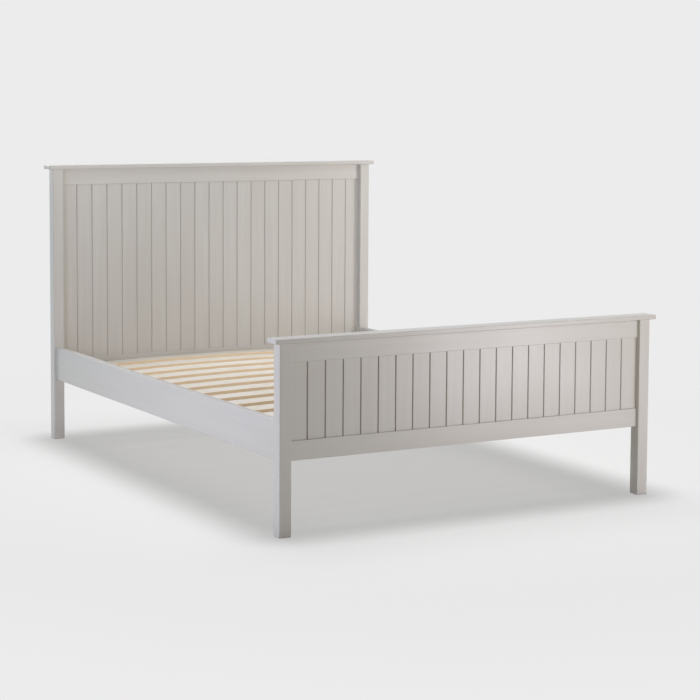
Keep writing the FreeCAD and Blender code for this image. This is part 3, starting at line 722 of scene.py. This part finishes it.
def make_camera():
    """A long lens, 6 m from the footboard's near post and looking slightly down across the bed."""
    yaw, pitch, roll = CAMERA_TURN
    ahead = np.array([math.sin(yaw) * math.cos(pitch), math.cos(yaw) * math.cos(pitch), math.sin(pitch)])
    level = np.array([math.cos(yaw), -math.sin(yaw), 0.0])
    above = np.cross(level, ahead)
    right = level * math.cos(roll) + above * math.sin(roll)
    up = above * math.cos(roll) - level * math.sin(roll)
    lens = bpy.data.cameras.new("camera")
    lens.sensor_width = 36.0
    lens.lens = 100.114
    lens.shift_y = -0.14
    lens.clip_end = 60.0
    camera = put("camera", lens)
    camera.matrix_world = looking(CAMERA_PLACE, right, up, ahead)
    bpy.context.scene.camera = camera


def add_lamp(name, place, aim, width, height, colour, power):
    """A soft box: a rectangular area light of that size, colour and power, with its sides level."""
    light = bpy.data.lights.new(name, "AREA")
    light.shape = "RECTANGLE"
    light.size, light.size_y = width, height
    light.color = colour
    light.energy = power
    ahead = np.array(aim, float) - np.array(place, float)
    ahead /= np.linalg.norm(ahead)
    right = np.cross(ahead, [0, 0, 1])
    right /= np.linalg.norm(right)
    lamp = put(name, light)
    lamp.matrix_world = looking(place, right, np.cross(right, ahead), ahead)
    return lamp


def link_light(lamp, thing, state):
    """Makes the lamp light only this thing (INCLUDE), or everything but this thing (EXCLUDE)."""
    lit = bpy.data.collections.new(f"lit_by_{lamp.name}")
    lit.objects.link(thing)
    for entry in lit.collection_objects:
        entry.light_linking.link_state = state
    lamp.light_linking.receiver_collection = lit


def make_lamps(floor):
    """Lamps for the bed: cool boxes left, two high up, small ones by the foot, one right, one behind.

    The floor has a broad lamp of its own overhead, which casts the bed's soft shadow under it; most of
    that shadow's darkness is painted into the floor's finish.
    """
    for lamp in LAMPS:
        link_light(add_lamp(*lamp), floor, "EXCLUDE")
    link_light(add_lamp(*FLOOR_WASH), floor, "INCLUDE")


def background_rays(graph):
    """1 for a ray that shows the background: the camera's own, or one seen in gloss or through glass."""
    path = graph.node("ShaderNodeLightPath").outputs
    mirrored = graph.math("MAXIMUM", path["Is Glossy Ray"], path["Is Transmission Ray"])
    return graph.math("MAXIMUM", path["Is Camera Ray"], mirrored)


def make_world():
    """An even pale room: it shows as the backdrop to the camera and in gloss, and lights softly."""
    world = bpy.data.worlds.new("pale_room")
    bpy.context.scene.world = world
    world.use_nodes = True
    graph = Graph(world.node_tree)
    seen = background_rays(graph)
    strength = graph.plus(WORLD_LIGHT, seen, 1.0 - WORLD_LIGHT)
    shader = world.node_tree.nodes["Background"]
    graph.fill(shader, {"Color": graph.blend(seen, WORLD_TINT, BACKDROP), "Strength": strength})


def floor_finish():
    """A pale matt floor that turns into the backdrop further out.

    The glowing backdrop's share is a smooth step of the distance from the bed's middle, from FLOOR_LIFT up
    to all of it, with the bed's length and width taken to the same size. Under the bed that glow is
    darkened into a painted shadow, which fades with the distance from the rectangle between the posts.
    """
    finish, graph, shader = new_finish("pale_floor")
    place = graph.points()
    speckle = graph.between(graph.noise(place, 60.0, detail=3.0, roughness=0.6), 0.3, 0.7)
    colour = graph.blend(speckle, FLOOR_DARK, FLOOR_LIGHT)
    graph.fill(shader, {"Base Color": colour, "Roughness": 0.85, "Specular IOR Level": 0.2})

    # Painted shadow under the bed: the glow darkens inside the posts' rectangle and fades out past it.
    beyond = graph.vector("SUBTRACT", graph.vector("ABSOLUTE", place), SHADE_HALF_SIZE)
    gap = graph.vector("LENGTH", graph.vector("MAXIMUM", beyond, (0.0, 0.0, 0.0)))
    shade = graph.between(gap, 0.0, SHADE_FADE, to_low=1.0, to_high=0.0)
    glow = graph.node("ShaderNodeEmission")
    graph.feed(glow.inputs["Color"], graph.blend(shade, BACKDROP, FLOOR_SHADE))

    away = graph.vector("LENGTH", graph.stretched(place, (1.0, 0.85, 1.0)))
    lift = graph.between(away, LIFT_STARTS, LIFT_ENDS, to_low=FLOOR_LIFT)
    mixed = graph.node("ShaderNodeMixShader")
    sources = (graph.times(lift, background_rays(graph)), shader.outputs[0], glow.outputs[0])
    for socket, source in zip(mixed.inputs, sources):
        graph.feed(socket, source)
    graph.feed(finish.node_tree.nodes["Material Output"].inputs["Surface"], mixed.outputs[0])
    return finish


def make_floor():
    """A round floor under the bed, in rings of quads about a small flat centre."""
    turn = np.linspace(0, 2 * np.pi, FLOOR_SIDES, endpoint=False)
    x = FLOOR_RADII[:, None] * np.cos(turn)
    y = FLOOR_RADII[:, None] * np.sin(turn)
    points = np.stack([x, y, np.full_like(x, FLOOR_LEVEL)], axis=-1)
    index = np.arange(x.size).reshape(x.shape)
    beside = np.roll(index, -1, axis=1)
    quads = np.stack([index[:-1], index[1:], beside[1:], beside[:-1]], axis=-1).reshape(-1, 4)
    mesh = bpy.data.meshes.new("floor")
    mesh.from_pydata(points.reshape(-1, 3).tolist(), [], quads.tolist() + [index[0].tolist()])
    mesh.materials.append(floor_finish())
    floor = put("floor", mesh)
    return floor


# Making

make_camera()
make_world()
make_lamps(make_floor())

ENDS = ("headboard", "footboard")
SIDES = ("left", "right")
PLATE_CORNERS = ("foot_left", "foot_right", "head_left", "head_right")
dress(
    painted_wood("grey_lacquer_rails_and_caps", "x", (0.0, 0.3, 0.7)),
    *[f"{end}_{piece}" for end in ENDS for piece in ("top_rail", "bottom_rail", "cap")],
)
dress(
    painted_wood("grey_lacquer_posts", "z", (0.9, 0.1, 0.0)),
    *[f"{end}_post_{side}" for end in ENDS for side in SIDES],
)
dress(
    painted_wood("grey_lacquer_boards", "z", (0.2, 0.6, 0.4), boards=True),
    *[f"{end}_boards" for end in ENDS],
)
dress(
    painted_wood("grey_lacquer_side_rails", "y", (0.5, 0.0, 0.1)),
    *[f"side_rail_{side}" for side in SIDES],
)
dress(slat_laminate(), *SLAT_NAMES)
dress(pine(), *[f"slat_ledge_{side}" for side in SIDES])
dress(
    zinc("bright_zinc", (196, 199, 203), 0.24),
    *[f"{plate}_plate_{corner}" for plate in ("hook", "slot") for corner in PLATE_CORNERS],
)

tape_weave = webbing()
staple_steel = zinc("staple_steel", (182, 184, 186), 0.30)
screw_zinc = zinc("screw_zinc", (205, 197, 172), 0.26)
for side in SIDES:
    make_tape(f"webbing_{side}", f"slat_tape_{side}", tape_weave)
    make_staples(f"staples_{side}", f"slat_tape_{side}", staple_steel)
screw_down(screw_zinc)

bpy.context.scene.view_settings.view_transform = "Standard"
